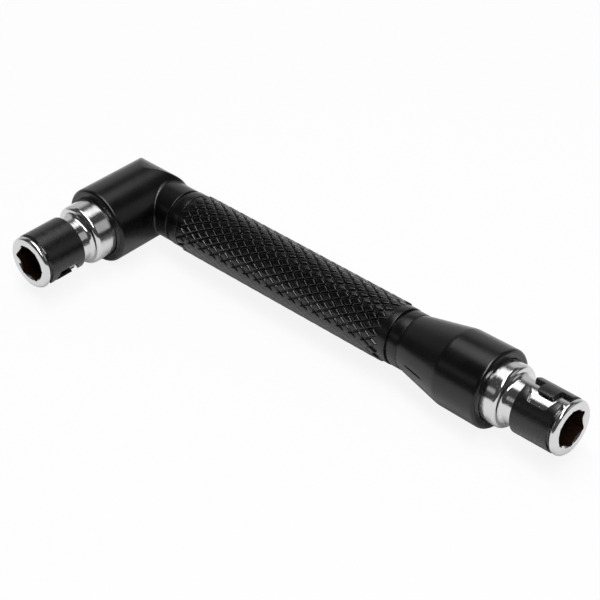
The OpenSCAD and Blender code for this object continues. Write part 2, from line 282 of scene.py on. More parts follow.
def skinned(rings):
    """Faces between rings of point numbers; a ring that is one number repeated is a pole."""
    faces = []
    for low, high in zip(rings, rings[1:]):
        for i in range(len(low)):
            j = (i + 1) % len(low)
            face = list(dict.fromkeys((low[i], low[j], high[j], high[i])))
            if len(face) > 2:
                faces.append(face)
    return faces


def turned(profile, sides, start=0.0):
    """Points and faces of a shape turned about Z from (along, radius) pairs.

    A profile that starts off the axis is a loop, so it makes a tube."""
    angles = start + np.arange(sides) * 2 * math.pi / sides
    points, rings = [], []
    for along, radius in profile:
        first = len(points)
        if radius < 1e-6:
            points.append((0, 0, along))
            rings.append([first] * sides)
        else:
            points.extend(zip(radius * np.cos(angles), radius * np.sin(angles), [along] * sides))
            rings.append(list(range(first, first + sides)))
    if profile[0][1] > 1e-6:
        rings.append(rings[0])
    return np.array(points), skinned(rings)


def eased(value, low, high):
    """0 below low, 1 above high, and a smooth rise between."""
    share = np.clip((value - low) / (high - low), 0, 1)
    return share * share * (3 - 2 * share)


def joined(*shapes):
    """Several (points, faces) as one."""
    points, faces, first = [], [], 0
    for some_points, some_faces in shapes:
        points.append(some_points)
        faces.extend([[first + i for i in face] for face in some_faces])
        first += len(some_points)
    return np.vstack(points), faces


def round_max(a, b, radius):
    """Distance to what two fields share, with the edge between them rounded."""
    corner = np.hypot(np.maximum(a + radius, 0), np.maximum(b + radius, 0))
    return np.minimum(np.maximum(a, b), -radius) + corner


def round_min(a, b, radius):
    """Distance to two fields together, with a fillet between them."""
    return -round_max(-a, -b, radius)


def slope(field, points):
    """Gradient of a distance field."""
    step = 0.01
    sides = []
    for axis in np.eye(3):
        sides.append((field(points + step * axis) - field(points - step * axis)) / (2 * step))
    return np.stack(sides, 1)


def settled(field, points):
    """Points moved on to the zero level of a distance field."""
    for _ in range(5):
        grade = slope(field, points)
        points = points - (field(points) / (grade * grade).sum(1).clip(0.2))[:, None] * grade
    return points


def skin_of(field, low, high, step):
    """Points, normals and quads of the zero level of a distance field."""
    axes = [np.arange(a, b + step, step) for a, b in zip(low, high)]
    shape = [len(a) for a in axes]
    grid = np.stack(np.meshgrid(*axes, indexing="ij"), -1)
    inside = (field(grid.reshape(-1, 3)) < 0).reshape(shape)
    corners = np.zeros([n - 1 for n in shape], int)
    for corner in np.ndindex(2, 2, 2):
        corners += inside[tuple(slice(c, n - 1 + c) for c, n in zip(corner, shape))]
    mixed = (corners > 0) & (corners < 8)
    number = np.full(corners.shape, -1)
    number[mixed] = np.arange(mixed.sum())
    points = np.argwhere(mixed) * step + np.array(low) + step / 2
    quads = []
    for axis in range(3):
        here = np.delete(inside, -1, axis)
        crossing = np.argwhere(here != np.delete(inside, 0, axis))
        ring = []
        for one, two in ((-1, -1), (0, -1), (0, 0), (-1, 0)):
            cell = crossing.copy()
            cell[:, (axis + 1) % 3] += one
            cell[:, (axis + 2) % 3] += two
            ring.append(number[tuple(cell.T)])
        quad = np.stack(ring, 1)
        outward = here[tuple(crossing.T)]
        quads.append(np.where(outward[:, None], quad, quad[:, ::-1]))
    quads = np.vstack(quads)
    points = settled(field, points)
    ends = np.vstack([quads[:, [i, (i + 1) % 4]] for i in range(4)])
    for _ in range(4):
        pulls = np.zeros_like(points)
        np.add.at(pulls, ends[:, 0], points[ends[:, 1]])
        np.add.at(pulls, ends[:, 1], points[ends[:, 0]])
        move = pulls / np.bincount(ends.ravel(), minlength=len(points))[:, None] - points
        normal = slope(field, points)
        normal /= np.linalg.norm(normal, axis=1)[:, None]
        move -= (move * normal).sum(1)[:, None] * normal
        points = settled(field, points + 0.5 * move)
    normal = slope(field, points)
    return points, normal / np.linalg.norm(normal, axis=1)[:, None], quads.tolist()


def placed(points, place):
    """Points in millimetres of a frame, moved by its matrix and turned into metres."""
    turn = np.array(place)
    return (np.asarray(points) @ turn[:3, :3].T + turn[:3, 3]) * MM


def new_piece(name, points, faces, place=Matrix()):
    """Mesh object of points in millimetres of a frame."""
    mesh = bpy.data.meshes.new(name)
    mesh.from_pydata(placed(points, place).tolist(), [], faces)
    if mesh.validate():
        raise RuntimeError(f"{name} has faces that can't be used")
    piece = bpy.data.objects.new(name, mesh)
    bpy.context.collection.objects.link(piece)
    return piece


def smoothed(piece, crease=40):
    """Shades a piece smooth, with creases and with wide faces kept flat."""
    mesh = piece.data
    mesh.polygons.foreach_set("use_smooth", [True] * len(mesh.polygons))
    mesh.set_sharp_from_angle(angle=math.radians(crease))
    weigh = piece.modifiers.new("Even shading", "WEIGHTED_NORMAL")
    weigh.keep_sharp = True
    return piece


def cut_away(piece, cutter):
    """Cuts one mesh object out of another, and removes the cutter."""
    cut = piece.modifiers.new("Cut", "BOOLEAN")
    cut.operation = "DIFFERENCE"
    cut.solver = "EXACT"
    cut.object = cutter
    graph = bpy.context.evaluated_depsgraph_get()
    mesh = bpy.data.meshes.new_from_object(piece.evaluated_get(graph))
    if not mesh.polygons:
        raise RuntimeError(f"nothing is left of {piece.name} after a cut")
    piece.modifiers.remove(cut)
    old = piece.data
    piece.data = mesh
    bpy.data.meshes.remove(old)
    bpy.data.meshes.remove(cutter.data)
    return piece


def dressed(piece, body, slot, nodes, *finishes):
    """Gives a piece its finishes and its body, and hides the CAD nodes that it stands for; the slot is
    not used.
    """
    piece.data.materials.clear()
    for finish in finishes:
        piece.data.materials.append(finish)
    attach(piece, body)
    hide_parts(*nodes)
    return piece


# Finishes

class Value:
    """A socket in a node tree; arithmetic on it adds the nodes."""

    def __init__(self, nodes, socket):
        self.nodes = nodes
        self.socket = socket

    def math(self, operation, first, second):
        return self.nodes.add("ShaderNodeMath", {"operation": operation}, {0: first, 1: second})

    def __add__(self, other):
        return self.math("ADD", self, other)

    def __sub__(self, other):
        return self.math("SUBTRACT", self, other)

    def __rsub__(self, other):
        return self.math("SUBTRACT", other, self)

    def __mul__(self, other):
        return self.math("MULTIPLY", self, other)

    def __pow__(self, other):
        return self.math("POWER", self, other)

    __radd__ = __add__
    __rmul__ = __mul__


class Nodes:
    """The nodes of one material or world."""

    def __init__(self, owner):
        owner.use_nodes = True
        self.owner = owner
        self.tree = owner.node_tree
        self.tree.nodes.clear()

    def add(self, kind, settings=None, inputs=None, output=0):
        """Adds a node with its settings, then the values or links of its sockets; gives one output."""
        node = self.tree.nodes.new(kind)
        for key, setting in (settings or {}).items():
            setattr(node, key, setting)
        for key, given in (inputs or {}).items():
            if isinstance(given, Value):
                self.tree.links.new(given.socket, node.inputs[key])
            else:
                node.inputs[key].default_value = given
        return Value(self, node.outputs[output]) if len(node.outputs) else node

    def place(self):
        """Where a point lies on its object, in metres."""
        return self.add("ShaderNodeTexCoord", output="Object")

    def stretched(self, place, scale):
        """A place scaled along each axis."""
        return self.add("ShaderNodeVectorMath", {"operation": "MULTIPLY"}, {0: place, 1: scale})

    def parts(self, vector):
        """The X, Y and Z of a vector."""
        split = self.add("ShaderNodeSeparateXYZ", None, {0: vector}).socket.node
        return [Value(self, socket) for socket in split.outputs]

    def noise(self, place, scale, detail=3.0, roughness=0.5):
        """Noise from 0 to 1, about 0.5 on average."""
        return self.add("ShaderNodeTexNoise", None, {
            "Vector": place, "Scale": scale, "Detail": detail, "Roughness": roughness})

    def step(self, value, low, high):
        """0 below low, 1 above high, and a smooth rise between."""
        return self.add("ShaderNodeMapRange", {"interpolation_type": "SMOOTHSTEP"}, {
            "Value": value, "From Min": low, "From Max": high})

    def blend(self, share, first, second):
        """A colour between two."""
        return self.add("ShaderNodeMix", {"data_type": "RGBA"}, {
            0: share, 6: first, 7: second}, output=2)

    def bump(self, height, depth):
        """A normal from a height; depth is the height of 1 in metres."""
        return self.add("ShaderNodeBump", None, {"Strength": 1.0, "Distance": depth, "Height": height})

    def surface(self, inputs):
        """Ends the material in one principled shader."""
        shader = self.add("ShaderNodeBsdfPrincipled", None, inputs)
        self.add("ShaderNodeOutputMaterial", None, {"Surface": shader})
        return self.owner


def shade(colour, factor=1.0):
    """A colour with its alpha, made lighter or darker."""
    return tuple(channel * factor for channel in colour) + (1.0,)


def moulded_black(colour, roughness):
    """Semi-gloss black moulding: fine skin, faint flow marks, rubbed edges and small scuffs."""
    nodes = Nodes(bpy.data.materials.new("moulded_black"))
    place = nodes.place()
    skin = nodes.noise(place, 3600, 2)
    cloud = nodes.noise(place, 210, 5, 0.6)
    flow = nodes.noise(nodes.stretched(place, (60, 420, 420)), 1, 4)
    scuff = nodes.step(nodes.noise(place, 900, 8, 0.7), 0.62, 0.74)
    worn = nodes.step(nodes.add("ShaderNodeNewGeometry", output="Pointiness"), 0.515, 0.56)
    mark = worn * (0.35 + 0.5 * cloud) + 0.25 * scuff
    return nodes.surface({
        "Base Color": nodes.blend(mark, shade(colour), shade(colour, 3.2)),
        "Roughness": roughness - 0.1 + 0.16 * cloud + 0.06 * flow + 0.12 * mark,
        "IOR": 1.48,
        "Normal": nodes.bump(0.5 * skin + cloud + 0.4 * flow, 0.000012),
    })


def knurled_black(colour, roughness, root, depth):
    """Black knurl: pad tops polished by hands, grooves dull."""
    nodes = Nodes(bpy.data.materials.new("knurled_black"))
    place = nodes.place()
    x, y, z = nodes.parts(place)
    out = ((y - ELBOW[1] * MM) ** 2 + (z - ELBOW[2] * MM) ** 2) ** 0.5
    top = nodes.step(out, (root + 0.4 * depth) * MM, (root + 0.95 * depth) * MM)
    skin = nodes.noise(place, 4200, 2)
    cloud = nodes.noise(place, 320, 4)
    scuff = nodes.step(nodes.noise(place, 1500, 6, 0.7), 0.6, 0.75) * top
    return nodes.surface({
        "Base Color": nodes.blend(0.5 * scuff + 0.2 * top, shade(colour), shade(colour, 2.6)),
        "Roughness": roughness + 0.1 - 0.1 * top + 0.12 * cloud + 0.1 * scuff,
        "IOR": 1.48,
        "Normal": nodes.bump(skin + cloud, 0.000008),
    })


def chrome_plate(colour, axis):
    """Bright plate over turned steel: faint turning rings, smudges and fine pits."""
    nodes = Nodes(bpy.data.materials.new("chrome_plate_" + axis))
    place = nodes.place()
    rings = nodes.noise(nodes.stretched(place, (5200, 60, 60) if axis == "x" else (60, 5200, 60)), 1, 3)
    smudge = nodes.noise(place, 480, 5, 0.6)
    wave = nodes.noise(place, 260, 1)
    pits = nodes.step(nodes.noise(place, 3100, 3), 0.66, 0.76)
    return nodes.surface({
        "Base Color": nodes.blend(0.3 * smudge + 0.5 * pits, shade(colour), shade(colour, 0.8)),
        "Metallic": 1.0,
        "Roughness": 0.04 + 0.13 * smudge + 0.06 * rings + 0.15 * pits,
        "Normal": nodes.bump(0.4 * rings + wave - 0.2 * pits, 0.00005),
    })


def broached_steel(colour):
    """Bare brown steel inside the hex, with broaching marks and a dull film."""
    nodes = Nodes(bpy.data.materials.new("broached_steel"))
    place = nodes.place()
    film = nodes.noise(place, 700, 6, 0.65)
    marks = nodes.noise(place, 3800, 2)
    return nodes.surface({
        "Base Color": nodes.blend(film, shade(colour, 0.6), shade(colour, 1.3)),
        "Metallic": 0.9,
        "Roughness": 0.18 + 0.2 * film,
        "Normal": nodes.bump(marks + film, 0.00002),
    })


def blackened_spring(colour, roughness):
    """Black oxide on rolled strip: mottled film, rolling grain and bright rubbed corners."""
    nodes = Nodes(bpy.data.materials.new("blackened_spring"))
    place = nodes.place()
    mottle = nodes.noise(place, 900, 6, 0.65)
    grain = nodes.noise(place, 5200, 3)
    worn = nodes.step(nodes.add("ShaderNodeNewGeometry", output="Pointiness"), 0.53, 0.6)
    rubbed = worn * nodes.step(mottle, 0.4, 0.62)
    return nodes.surface({
        "Base Color": nodes.blend(0.35 * mottle + 0.5 * rubbed, shade(colour), shade(colour, 5)),
        "Metallic": 0.5 * rubbed,
        "Roughness": roughness - 0.12 + 0.24 * mottle,
        "IOR": 1.52,
        "Normal": nodes.bump(grain + mottle, 0.00002),
    })


def polished_ball(colour):
    """Hardened steel ball with faint marks of rolling."""
    nodes = Nodes(bpy.data.materials.new("polished_ball"))
    place = nodes.place()
    marks = nodes.noise(place, 2600, 5, 0.6)
    return nodes.surface({
        "Base Color": nodes.blend(marks, shade(colour, 0.8), shade(colour)),
        "Metallic": 1.0,
        "Roughness": 0.1 + 0.15 * marks,
        "Normal": nodes.bump(marks, 0.000006),
    })


# Operators

class DRIVER_OT_handle(Operator):
    """Black moulding: the elbow with its arm and neck, and the shaft with the cone and the bell"""

    bl_idname = "driver.handle"
    bl_label = "Handle"

    def elbow_field(self, points):
        """Distance to the elbow from points counted from where the axes cross."""
        s = self.settings
        x, y, z = points.T
        boss = s.boss_radius / MM
        back = s.elbow_back / MM
        crown_edge, neck_edge, hole_edge = 0.7, 0.15, 0.25
        draft = s.boss_draft / MM * np.clip((y + ARM_FACE) / (ARM_FACE + back), 0, 1)
        arm = round_max(np.hypot(x, z) - boss + draft, -y - ARM_FACE, s.face_rounding / MM)
        arm = round_max(arm, y - back, s.elbow_rounding / MM)
        crown = np.hypot(np.maximum(y - back + boss, 0), z) - boss
        arm = round_max(arm, crown, crown_edge * np.clip(x / boss, -1, 1) ** 2)
        neck = round_max(np.hypot(y, z) - s.neck_radius / MM, x - s.neck_end / MM, neck_edge)
        body = round_min(arm, np.maximum(neck, -x), s.neck_crease / MM)
        hole = np.maximum(np.hypot(x, z) - s.hole_radius / MM, y + ARM_FACE - HOLE_DEPTH)
        return round_max(body, -hole, hole_edge)

    def shaft(self):
        """Shaft from inside the neck to the bell, with a witness mark of the mould on the cone."""
        s = self.settings
        relief = s.relief_radius / MM
        core_step, overlap = 0.4, 0.4
        ring_edge, collar_edge, hole_edge = 0.08, 0.14, 0.25
        narrow_blend, wide_blend = 6, 5
        core = relief - core_step
        collar = s.neck_radius / MM
        collar_start = GRIP_END + s.relief_width / MM
        start = s.cone_start / MM
        end = s.cone_end / MM
        narrow = s.cone_radius / MM
        boss = s.boss_radius / MM
        hole = s.hole_radius / MM
        inside = s.neck_end / MM - overlap
        rings = rounded((
            (inside, 0, 0),
            (inside, relief, 0),
            (GRIP_START, relief, 0),
            (GRIP_START, core, 0),
            (GRIP_END, core, 0),
            (GRIP_END, relief, 0),
            (collar_start, relief, ring_edge),
            (collar_start, collar, collar_edge),
            (start, collar, ring_edge),
            (start, narrow, 0),
        ))
        bell = rounded((
            (collar_start, narrow, 0),
            (start, narrow, narrow_blend),
            (end, boss - s.boss_draft / MM, wide_blend),
            (BELL_FACE, boss, s.face_rounding / MM),
            (BELL_FACE, hole, hole_edge),
            (BELL_FACE - HOLE_DEPTH, hole, 0),
            (BELL_FACE - HOLE_DEPTH, 0, 0),
        ), steps=8)
        first = np.argmax(bell[:, 0] > start + 0.01)
        rings[-1] = (start + 0.01, np.interp(start, *bell[:first + 1].T))
        profile = np.vstack((rings, bell[first:]))
        piece = new_piece("handle_shaft", *turned(profile, 160), handle_place(0))
        return cut_away(piece, self.witness_mark())

    def witness_mark(self):
        """Slim lens, deeper than wide, that cuts the mark into the near side of the cone."""
        s = self.settings
        half_length, half_width, depth = 2.7, 0.2, 0.45
        start = s.cone_start / MM
        slope_of_cone = (s.boss_radius - s.cone_radius) / (s.cone_end - s.cone_start)
        middle = start + 4.8
        out = s.cone_radius / MM + (middle - start) * slope_of_cone
        lens = [(half_length * u, half_width * (1 - u ** 4)) for u in np.linspace(-1, 1, 21)]
        points, faces = turned(lens, 16)
        points[:, 0] *= depth / half_width
        turn = Matrix.Rotation(math.radians(-88), 4, "Z")
        lean = Matrix.Rotation(math.atan(slope_of_cone), 4, "Y")
        place = handle_place(middle) @ turn @ Matrix.Translation((out, 0, 0)) @ lean
        return new_piece("witness_mark", points, faces, place)

    def execute(self, context):
        self.settings = s = context.scene.driver_handle
        finish = moulded_black(s.colour, s.roughness)
        spare = 0.5
        side = s.boss_radius / MM + 0.6
        low = (-side, -ARM_FACE - spare, -side)
        high = (s.neck_end / MM + spare, s.elbow_back / MM + spare, side)
        points, normals, faces = skin_of(self.elbow_field, low, high, step=0.21)
        elbow = new_piece("handle_elbow", points, faces, Matrix.Translation(ELBOW))
        elbow.data.polygons.foreach_set("use_smooth", [True] * len(faces))
        elbow.data.normals_split_custom_set_from_vertices(normals.tolist())
        for piece in (elbow, smoothed(self.shaft())):
            dressed(piece, "driver", "handle_plastic", ["handle_body"], finish)
        return {"FINISHED"}


class DRIVER_OT_grip(Operator):
    """Knurled grip: rings of raised diamond pads on a tube with two plain bands"""

    bl_idname = "driver.grip"
    bl_label = "Grip"

    def pads(self):
        """All the pads, each a rounded lozenge that falls to the grooves round it."""
        s = self.settings
        root = s.root_radius / MM
        depth = s.groove_depth / MM
        start = GRIP_START + s.elbow_band / MM
        row_step = (GRIP_END - s.bell_band / MM - start) / s.half_rows
        col_step = math.pi / s.pads_around
        # Shares of the spacing of the grooves; the points across a pad lie close together on its walls
        groove_floor, wall_width = 0.025, 0.165
        corner_floor, corner_width = 0.14, 0.26
        edge_curve, crown_drop = 1.5, 0.05
        half = np.array((0, 0.025, 0.06, 0.095, 0.13, 0.16, 0.19, 0.3, 0.5))
        across = np.concatenate((half - 0.5, 0.5 - half[-2::-1]))
        count = len(across)
        a, b = (grid.ravel() for grid in np.meshgrid(across, across, indexing="ij"))
        in_a, in_b = 0.5 - abs(a), 0.5 - abs(b)
        wall = np.clip((np.minimum(in_a, in_b) - groove_floor) / wall_width, 0, 1)
        corner = np.clip((in_a + in_b - corner_floor) / corner_width, 0, 1)
        rise = 1 - (1 - np.minimum(wall, corner)) ** edge_curve
        crown = 1 - crown_drop * ((2 * a) ** 2 + (2 * b) ** 2)
        fall = 1 - rise * crown
        cell = []
        for i in range(count - 1):
            for j in range(count - 1):
                k = i * count + j
                cell.append([k, k + 1, k + count + 1, k + count])
        shapes = []
        for row in range(1, s.half_rows):
            for col in range(row % 2, 2 * s.pads_around, 2):
                angle = (col + a - b) * col_step
                along = row + a + b
                out = root + depth * (1 - self.relief(angle, along) * fall)
                ring = np.stack((out * np.cos(angle), out * np.sin(angle), start + along * row_step), 1)
                shapes.append((ring, cell))
        return joined(*shapes)

    def relief(self, angle, along):
        """Share of the grooves' depth: little on the side strips, all elsewhere and at the ends."""
        s = self.settings
        turn = abs((angle + math.pi) % (2 * math.pi) - math.pi)
        strip = eased(turn, s.strip_turn - math.radians(8), s.strip_turn)
        strip *= 1 - eased(turn, math.radians(89), math.radians(92.5))
        ends = np.minimum(along, s.half_rows - along)
        return 1 - (1 - s.strip_depth / s.groove_depth) * strip * eased(ends, 1, 2)

    def execute(self, context):
        self.settings = s = context.scene.driver_grip
        root = s.root_radius / MM
        band = s.band_radius / MM
        inner = root - 0.7
        end_edge, band_edge = 0.12, 0.08
        under_pads = root - 0.006
        knurl_start = GRIP_START + s.elbow_band / MM
        knurl_end = GRIP_END - s.bell_band / MM
        tube = rounded((
            (GRIP_START, inner, 0),
            (GRIP_START, band, end_edge),
            (knurl_start, band, band_edge),
            (knurl_start, under_pads, 0),
            (knurl_end, under_pads, 0),
            (knurl_end, band, band_edge),
            (GRIP_END, band, end_edge),
            (GRIP_END, inner, 0),
        ), steps=4, loop=True)
        points, faces = joined(turned(tube, 152), self.pads())
        grip = smoothed(new_piece("grip_knurl", points, faces, handle_place(0)), 50)
        finish = knurled_black(s.colour, s.roughness, root, s.groove_depth / MM)
        dressed(grip, "driver", "grip_plastic", ["knurled_grip"], finish)
        return {"FINISHED"}


class DRIVER_OT_sockets(Operator):
    """Chromed bit sockets: lip, seat, waist and bead outside, hex bore and drill point inside"""

    bl_idname = "driver.sockets"
    bl_label = "Sockets"

    def socket(self, name, hex_turn, ball_flat, stand, place):
        """One socket in a frame whose origin is the tip and whose Z points out of it."""
        s = self.settings
        sides = 144
        angles = hex_turn + np.arange(sides) * 2 * math.pi / sides
        flat = s.hex_width / MM / 2
        sixth = math.pi / 3
        hexagon = flat / np.cos((angles - hex_turn) % sixth - sixth / 2)
        mouth = flat + s.lead_in / MM
        seat = s.seat_radius / MM
        lip = s.lip_radius / MM
        bead = s.bead_radius / MM
        bead_at = s.bead_at / MM
        waist = s.waist_length / MM
        drop = bead - seat
        swing = 2 * math.atan(drop / waist)
        convex = s.bead_rounding / MM
        concave = waist / math.sin(swing) - convex
        waist_curve = []
        for angle in np.linspace(0, swing, 9):
            along = convex * math.sin(angle) - bead_at
            waist_curve.append((along, bead - convex * (1 - math.cos(angle)), 0))
        for angle in np.linspace(swing, 0, 13)[1:]:
            along = waist - bead_at - concave * math.sin(angle)
            waist_curve.append((along, seat + concave * (1 - math.cos(angle)), 0))
        hidden_length, lip_edge, face_edge = 4.5, 0.1, 0.25
        tail = -stand - hidden_length
        outside = rounded((
            (tail, 0, 0),
            (tail, bead, 0),
            *waist_curve,
            (-s.lip_length / MM, seat, 0),
            (-s.lip_length / MM, lip, lip_edge),
            (0, lip, s.lip_rounding / MM),
            (0, mouth + face_edge, 0),
        ), steps=5)
        points, faces = turned(outside, sides, hex_turn)
        outer_faces = len(faces)
        depth = s.hex_depth / MM
        pilot = flat - 0.2
        pilot_end = -depth - 1
        drill_half_angle = math.radians(59)
        clear = 0.012
        rim = np.maximum(mouth, hexagon + clear)
        scallop = np.minimum(hexagon - mouth, -clear)
        inside = (
            (rim, np.zeros(sides)),
            (hexagon, scallop),
            (hexagon, np.full(sides, -depth / 2)),
            (hexagon, np.full(sides, -depth)),
            (np.full(sides, pilot), np.full(sides, -depth)),
            (np.full(sides, pilot), np.full(sides, pilot_end)),
        )
        rings = [list(range(len(points) - sides, len(points)))]
        for radius, along in inside:
            first = len(points)
            ring = np.stack((radius * np.cos(angles), radius * np.sin(angles), along), 1)
            points = np.vstack((points, ring))
            rings.append(list(range(first, first + sides)))
        drill_point = (0, 0, pilot_end - pilot / math.tan(drill_half_angle))
        rings.append([len(points)] * sides)
        points = np.vstack((points, [drill_point]))
        faces = faces + skinned(rings)
        piece = new_piece(name, points, faces, place)
        bore = [0] * (outer_faces + 2 * sides) + [1] * (len(faces) - outer_faces - 2 * sides)
        for index in (0, 1):
            piece.data.materials.append(self.finishes[index])
        piece.data.polygons.foreach_set("material_index", bore)
        ball_hole = s.ball_radius / MM + 0.03
        catch = 0.9 * s.ball_radius / MM
        ledge = flat + 0.05
        low, high = flat - 1, seat + 0.5
        hole = (
            (low, 0), (low, catch), (ledge, catch),
            (ledge, ball_hole), (high, ball_hole), (high, 0),
        )
        turn = Matrix.Rotation(hex_turn + (ball_flat + 0.5) * sixth, 4, "Z")
        ball_place = place @ Matrix.Translation((0, 0, -s.ball_at / MM))
        outwards = Matrix.Rotation(math.pi / 2, 4, "Y")
        return cut_away(piece, new_piece("ball_hole", *turned(hole, 32), ball_place @ turn @ outwards))

    def execute(self, context):
        self.settings = s = context.scene.driver_sockets
        bore = broached_steel(s.bore_colour)
        ends = (
            ("straight_bit_socket", "straight_socket", "x", s.straight_hex_turn, 0,
             STRAIGHT_TIP - BELL_FACE, handle_place(STRAIGHT_TIP)),
            ("angle_bit_socket", "angle_socket", "y", s.angle_hex_turn, 2,
             ANGLE_TIP - ARM_FACE, arm_place(ANGLE_TIP)),
        )
        for name, node, axis, hex_turn, ball_flat, stand, place in ends:
            self.finishes = (chrome_plate(s.colour, axis), bore)
            piece = smoothed(self.socket(name, hex_turn, ball_flat, stand, place), 35)
            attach(piece, "driver")
            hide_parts(node)
        return {"FINISHED"}


class DRIVER_OT_sleeves(Operator):
    """Spring sleeves: flat strip with a tongue and a notch, bevelled, grooved inside and rolled"""

    bl_idname = "driver.sleeves"
    bl_label = "Sleeves"

    def outline(self, outer):
        """Outline of the flat strip: the notched end first, the tongue a full turn further on."""
        s = self.settings
        length = s.length / MM
        tongue = s.tongue_length / MM
        back = (length - tongue) / 2
        front = back + tongue
        end, mid = (
            outer * math.asin(offset / MM / 2 / outer)
            for offset in (s.seam_step + s.seam_gap, s.seam_step - s.seam_gap)
        )
        mouth = (s.tongue_gap + s.notch_slant) / MM
        bottom = (s.tongue_gap - s.notch_slant) / MM
        lap = 2 * math.pi * outer
        return rounded((
            (-mid, 0, 0.2),
            (lap - end, 0, 0.2),
            (lap - end, back, 0.2),
            (lap + mid, back, 0.6),
            (lap + mid, front, 0.6),
            (lap - end, front, 0.2),
            (lap - end, length, 0.2),
            (-mid, length, 0.2),
            (-mid, front + mouth, 0.3),
            (end, front + bottom, 0.3),
            (end, back - bottom, 0.3),
            (-mid, back - mouth, 0.3),
        ), steps=5, loop=True)

    def strip(self, name, outer):
        """The flat strip, its outer face up."""
        s = self.settings
        thick = s.thickness / MM
        plate = bmesh.new()
        rim = [plate.verts.new((along, across, 0)) for along, across in self.outline(outer)]
        face = plate.faces.new(rim)
        raised = bmesh.ops.extrude_face_region(plate, geom=[face])["geom"]
        top = [v for v in raised if isinstance(v, bmesh.types.BMVert)]
        bmesh.ops.translate(plate, verts=top, vec=(0, 0, thick))
        bmesh.ops.recalc_face_normals(plate, faces=plate.faces)
        for height, width, steps in ((thick, 0.1, 3), (0, 0.05, 2)):
            edges = [e for e in plate.edges if all(abs(v.co.z - height) < 1e-6 for v in e.verts)]
            bmesh.ops.bevel(
                plate, geom=edges, offset=width, segments=steps, profile=0.5, affect="EDGES")
        mesh = bpy.data.meshes.new(name)
        plate.to_mesh(mesh)
        plate.free()
        piece = bpy.data.objects.new(name, mesh)
        bpy.context.collection.objects.link(piece)
        return piece

    def track(self, outer):
        """Bar that cuts the ball's groove into the inner face of the flat strip."""
        s = self.settings
        lap = 2 * math.pi * outer
        spare = 6
        middle = s.length / MM / 2
        half = s.track_width / MM / 2
        depth = (s.track_radius - s.bore_radius) / MM
        bar = [
            (along, across, up)
            for along in (-spare, lap + spare)
            for across in (middle - half, middle + half)
            for up in (-1, depth)
        ]
        sides = ((0, 1, 3, 2), (4, 6, 7, 5), (0, 4, 5, 1), (2, 3, 7, 6), (0, 2, 6, 4), (1, 5, 7, 3))
        return new_piece("ball_track", np.array(bar) / MM, sides)

    def rolled(self, piece, turn, outer, place):
        """Cuts the flat strip into short lengths and rolls it round the seat."""
        s = self.settings
        sheet = bmesh.new()
        sheet.from_mesh(piece.data)
        lap = 2 * math.pi * outer
        cuts_in_a_lap = 120
        for along in np.arange(-0.1, 1.1, 1 / cuts_in_a_lap) * lap:
            everything = sheet.verts[:] + sheet.edges[:] + sheet.faces[:]
            bmesh.ops.bisect_plane(
                sheet, geom=everything, dist=1e-5, plane_co=(along, 0, 0), plane_no=(1, 0, 0))
        bore = s.bore_radius / MM
        rear = (s.front + s.length) / MM
        for vert in sheet.verts:
            along, across, up = vert.co
            angle = turn + along / outer
            out = bore + up
            rolled = Vector((out * math.cos(angle), out * math.sin(angle), across - rear))
            vert.co = place @ rolled * MM
        bmesh.ops.recalc_face_normals(sheet, faces=sheet.faces)
        sheet.to_mesh(piece.data)
        sheet.free()
        return piece

    def execute(self, context):
        self.settings = s = context.scene.driver_sleeves
        outer = (s.bore_radius + s.thickness) / MM
        finish = blackened_spring(s.colour, s.roughness)
        ends = (
            ("straight_sleeve", s.straight_seam_turn, handle_place(STRAIGHT_TIP)),
            ("angle_sleeve", s.angle_seam_turn, arm_place(ANGLE_TIP)),
        )
        for body, turn, place in ends:
            node = body.replace("_sleeve", "_spring_sleeve")
            flat = cut_away(self.strip(body + "_strip", outer), self.track(outer))
            piece = smoothed(self.rolled(flat, turn, outer, place))
            dressed(piece, body, "spring_steel", [node], finish)
        return {"FINISHED"}


class DRIVER_OT_balls(Operator):
    """Detent balls: the CAD balls with a steel finish"""

    bl_idname = "driver.balls"
    bl_label = "Balls"

    def execute(self, context):
        finish = polished_ball(context.scene.driver_sockets.ball_colour)
        for node in ("straight_detent_ball", "angle_detent_ball"):
            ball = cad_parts[node]
            ball.data.materials.clear()
            ball.data.materials.append(finish)
        return {"FINISHED"}


